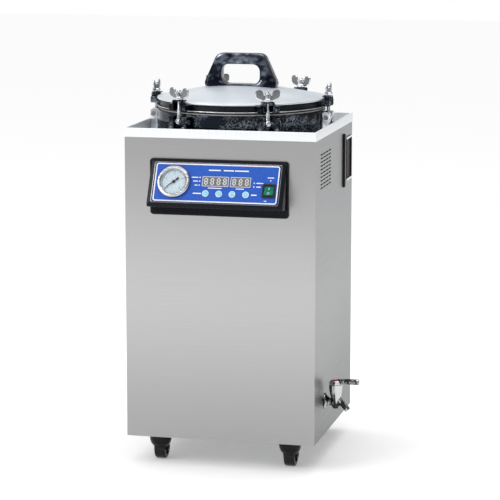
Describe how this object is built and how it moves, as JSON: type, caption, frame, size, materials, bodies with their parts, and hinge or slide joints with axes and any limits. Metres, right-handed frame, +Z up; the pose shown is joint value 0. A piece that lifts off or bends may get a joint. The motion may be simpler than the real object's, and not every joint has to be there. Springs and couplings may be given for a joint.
{
  "type": "vertical steam autoclave",
  "caption": "Floor-standing top-loading steam autoclave: square steel cabinet on castors, round lid held by swing bolts with wing nuts, sloped front console, side drain tap.",
  "frame": {"origin": "on the floor, under the axis of the chamber", "axes": "+X to the right as seen from the console, +Y to the rear, +Z up"},
  "size_m": [0.49, 0.4719, 0.869],
  "materials": {
    "stainless": "brushed",
    "tray_steel": "satin",
    "dome_steel": "satin",
    "polished_steel": "polished",
    "dark_steel": "gloss black enamel",
    "handle_black": "gloss black",
    "rubber_seal": "silicone",
    "console_black": "gloss black",
    "label_blue": "printed film",
    "gauge_steel": "polished",
    "glass": "clear",
    "needle_black": "black",
    "display_dark": "smoked",
    "key_cyan": "printed",
    "switch_black": "gloss black",
    "switch_green": "lit green",
    "board_green": "solder mask",
    "castor_black": "gloss black",
    "tread_black": "black",
    "wool": "mineral wool",
    "frame_zinc": "zinc plated",
    "grip_black": "moulded black",
    "brass": "plain"
  },
  "bodies": {
    "cabinet": {"base_pan": "frame_zinc", "inner_frame": "frame_zinc", "front_panel": "stainless", "right_panel": "stainless", "left_panel": "stainless", "rear_panel": "stainless", "top_tray": "tray_steel", "panel_screws": "polished_steel", "side_grips": "grip_black", "castor_plates": "frame_zinc", "pressure_vessel": "tray_steel", "chamber_collar": "polished_steel", "clamp_brackets": "polished_steel", "pivot_pins": "polished_steel", "insulation_jacket": "wool", "heater_element": "polished_steel", "support_grid": "tray_steel", "drain_pipe": "brass", "exhaust_valve": "brass", "tap_body": "polished_steel", "console_housing": "console_black", "console_label": "label_blue", "gauge_case": "gauge_steel", "gauge_lens": "glass", "display_windows": "display_dark", "rocker_frame": "switch_black", "control_board": "board_green", "power_inlet": "switch_black"},
    "lid": {"lid_dome": "dome_steel", "lid_ring": "dark_steel", "lid_gasket": "rubber_seal", "lid_handle": "handle_black"},
    "basket": {"basket": "tray_steel"},
    "tap_lever": {"tap_lever": "polished_steel"},
    "gauge_needle": {"gauge_needle": "needle_black"},
    "rocker_key": {"rocker_key": "switch_green"},
    "swing_bolt_1": {"swing_bolt_1": "polished_steel"},
    "wing_nut_1": {"wing_nut_1": "gauge_steel"},
    "swing_bolt_2": {"swing_bolt_2": "polished_steel"},
    "wing_nut_2": {"wing_nut_2": "gauge_steel"},
    "swing_bolt_3": {"swing_bolt_3": "polished_steel"},
    "wing_nut_3": {"wing_nut_3": "gauge_steel"},
    "swing_bolt_4": {"swing_bolt_4": "polished_steel"},
    "wing_nut_4": {"wing_nut_4": "gauge_steel"},
    "swing_bolt_5": {"swing_bolt_5": "polished_steel"},
    "wing_nut_5": {"wing_nut_5": "gauge_steel"},
    "swing_bolt_6": {"swing_bolt_6": "polished_steel"},
    "wing_nut_6": {"wing_nut_6": "gauge_steel"},
    "key_1": {"key_1": "key_cyan"},
    "key_2": {"key_2": "key_cyan"},
    "key_3": {"key_3": "key_cyan"},
    "key_4": {"key_4": "key_cyan"},
    "castor_fork_1": {"castor_fork_1": "castor_black"},
    "castor_wheel_1": {"castor_wheel_1": "tread_black"},
    "castor_fork_2": {"castor_fork_2": "castor_black"},
    "castor_wheel_2": {"castor_wheel_2": "tread_black"},
    "castor_fork_3": {"castor_fork_3": "castor_black"},
    "castor_wheel_3": {"castor_wheel_3": "tread_black"},
    "castor_fork_4": {"castor_fork_4": "castor_black"},
    "castor_wheel_4": {"castor_wheel_4": "tread_black"}
  },
  "joints": [
    {"name": "lid_lift", "type": "slide", "parent": "cabinet", "child": "lid", "axis": [0, 0, 1], "range_m": [0, 0.08]},
    {"name": "basket_lift", "type": "slide", "parent": "cabinet", "child": "basket", "axis": [0, 0, 1], "range_m": [0, 0.15]},
    {"name": "bolt_swing_1", "type": "hinge", "parent": "cabinet", "child": "swing_bolt_1", "pos_m": [0.191, 0, 0.736], "axis": [0, 1, 0], "range_deg": [0, 86]},
    {"name": "nut_spin_1", "type": "hinge", "parent": "swing_bolt_1", "child": "wing_nut_1", "pos_m": [0.191, 0, 0.79], "axis": [0, 0, 1], "continuous": true},
    {"name": "bolt_swing_2", "type": "hinge", "parent": "cabinet", "child": "swing_bolt_2", "pos_m": [0.0955, 0.16541, 0.736], "axis": [-0.866, 0.5, 0], "range_deg": [0, 86]},
    {"name": "nut_spin_2", "type": "hinge", "parent": "swing_bolt_2", "child": "wing_nut_2", "pos_m": [0.0955, 0.16541, 0.79], "axis": [0, 0, 1], "continuous": true},
    {"name": "bolt_swing_3", "type": "hinge", "parent": "cabinet", "child": "swing_bolt_3", "pos_m": [-0.0955, 0.16541, 0.736], "axis": [-0.866, -0.5, 0], "range_deg": [0, 86]},
    {"name": "nut_spin_3", "type": "hinge", "parent": "swing_bolt_3", "child": "wing_nut_3", "pos_m": [-0.0955, 0.16541, 0.79], "axis": [0, 0, 1], "continuous": true},
    {"name": "bolt_swing_4", "type": "hinge", "parent": "cabinet", "child": "swing_bolt_4", "pos_m": [-0.191, 0, 0.736], "axis": [0, -1, 0], "range_deg": [0, 86]},
    {"name": "nut_spin_4", "type": "hinge", "parent": "swing_bolt_4", "child": "wing_nut_4", "pos_m": [-0.191, 0, 0.79], "axis": [0, 0, 1], "continuous": true},
    {"name": "bolt_swing_5", "type": "hinge", "parent": "cabinet", "child": "swing_bolt_5", "pos_m": [-0.0955, -0.16541, 0.736], "axis": [0.866, -0.5, 0], "range_deg": [0, 86]},
    {"name": "nut_spin_5", "type": "hinge", "parent": "swing_bolt_5", "child": "wing_nut_5", "pos_m": [-0.0955, -0.16541, 0.79], "axis": [0, 0, 1], "continuous": true},
    {"name": "bolt_swing_6", "type": "hinge", "parent": "cabinet", "child": "swing_bolt_6", "pos_m": [0.0955, -0.16541, 0.736], "axis": [0.866, 0.5, 0], "range_deg": [0, 86]},
    {"name": "nut_spin_6", "type": "hinge", "parent": "swing_bolt_6", "child": "wing_nut_6", "pos_m": [0.0955, -0.16541, 0.79], "axis": [0, 0, 1], "continuous": true},
    {"name": "tap_turn", "type": "hinge", "parent": "cabinet", "child": "tap_lever", "pos_m": [0.229, -0.091, 0.17], "axis": [0, 0, 1], "range_deg": [0, 90]},
    {"name": "needle_turn", "type": "hinge", "parent": "cabinet", "child": "gauge_needle", "pos_m": [-0.0905, -0.23048, 0.61795], "axis": [0, -0.8829, 0.4695], "range_deg": [-270, 0], "stiffness_Nm_per_rad": 0.001},
    {"name": "rocker_tilt", "type": "hinge", "parent": "cabinet", "child": "rocker_key", "pos_m": [0.1135, -0.2334, 0.60308], "axis": [1, 0, 0], "range_deg": [0, 12]},
    {"name": "key_press_1", "type": "slide", "parent": "cabinet", "child": "key_1", "axis": [0, 0.8829, -0.4695], "range_m": [0, 0.0012], "stiffness_N_per_m": 300},
    {"name": "key_press_2", "type": "slide", "parent": "cabinet", "child": "key_2", "axis": [0, 0.8829, -0.4695], "range_m": [0, 0.0012], "stiffness_N_per_m": 300},
    {"name": "key_press_3", "type": "slide", "parent": "cabinet", "child": "key_3", "axis": [0, 0.8829, -0.4695], "range_m": [0, 0.0012], "stiffness_N_per_m": 300},
    {"name": "key_press_4", "type": "slide", "parent": "cabinet", "child": "key_4", "axis": [0, 0.8829, -0.4695], "range_m": [0, 0.0012], "stiffness_N_per_m": 300},
    {"name": "castor_swivel_1", "type": "hinge", "parent": "cabinet", "child": "castor_fork_1", "pos_m": [-0.143, -0.155, 0.055], "axis": [0, 0, 1], "continuous": true},
    {"name": "wheel_roll_1", "type": "hinge", "parent": "castor_fork_1", "child": "castor_wheel_1", "pos_m": [-0.143, -0.145, 0.025], "axis": [1, 0, 0], "continuous": true},
    {"name": "castor_swivel_2", "type": "hinge", "parent": "cabinet", "child": "castor_fork_2", "pos_m": [0.143, -0.155, 0.055], "axis": [0, 0, 1], "continuous": true},
    {"name": "wheel_roll_2", "type": "hinge", "parent": "castor_fork_2", "child": "castor_wheel_2", "pos_m": [0.143, -0.145, 0.025], "axis": [1, 0, 0], "continuous": true},
    {"name": "castor_swivel_3", "type": "hinge", "parent": "cabinet", "child": "castor_fork_3", "pos_m": [-0.143, 0.155, 0.055], "axis": [0, 0, 1], "continuous": true},
    {"name": "wheel_roll_3", "type": "hinge", "parent": "castor_fork_3", "child": "castor_wheel_3", "pos_m": [-0.143, 0.165, 0.025], "axis": [1, 0, 0], "continuous": true},
    {"name": "castor_swivel_4", "type": "hinge", "parent": "cabinet", "child": "castor_fork_4", "pos_m": [0.143, 0.155, 0.055], "axis": [0, 0, 1], "continuous": true},
    {"name": "wheel_roll_4", "type": "hinge", "parent": "castor_fork_4", "child": "castor_wheel_4", "pos_m": [0.143, 0.165, 0.025], "axis": [1, 0, 0], "continuous": true}
  ],
  "couplings": [
    {"joint": "bolt_swing_1", "follows": "lid_lift", "rad_per_m": 18.544},
    {"joint": "bolt_swing_2", "follows": "lid_lift", "rad_per_m": 18.544},
    {"joint": "bolt_swing_3", "follows": "lid_lift", "rad_per_m": 18.544},
    {"joint": "bolt_swing_4", "follows": "lid_lift", "rad_per_m": 18.544},
    {"joint": "bolt_swing_5", "follows": "lid_lift", "rad_per_m": 18.544},
    {"joint": "bolt_swing_6", "follows": "lid_lift", "rad_per_m": 18.544}
  ]
}
